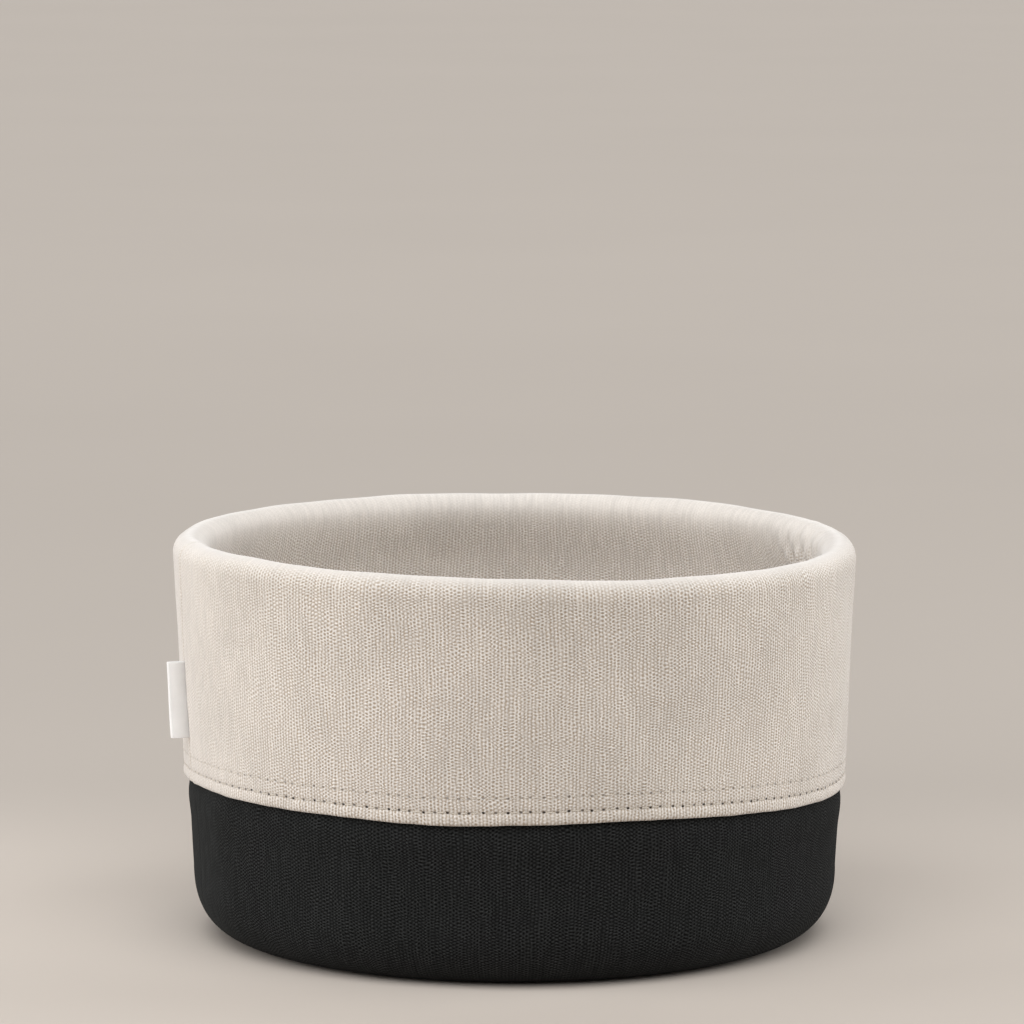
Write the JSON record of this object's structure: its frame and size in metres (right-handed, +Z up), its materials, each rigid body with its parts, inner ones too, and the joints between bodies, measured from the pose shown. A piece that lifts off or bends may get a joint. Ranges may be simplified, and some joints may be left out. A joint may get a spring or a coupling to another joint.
{
  "type": "linen bread bag",
  "caption": "Round lined canvas bread bag standing open, its top folded down outside as a deep cuff, with a soft rolled rim and a small blank side label.",
  "frame": {"origin": "centre of the round underside, on the surface that the bag stands on", "axes": "+Z up out of the open mouth, -Y towards the front as pictured, -X towards the side seam with the label"},
  "size_m": [0.2308, 0.23, 0.1358],
  "materials": {
    "black_canvas": "black plain-weave canvas, matt",
    "linen_canvas": "sand-coloured plain-weave linen canvas, matt, slightly slubbed",
    "label_tape": "white woven tape, fine and smooth, with nothing on it"
  },
  "bodies": {
    "root": {"shell_wall": "black_canvas", "shell_base": "black_canvas", "lining_wall": "linen_canvas", "lining_base": "linen_canvas", "side_label": "label_tape"}
  },
  "joints": []
}
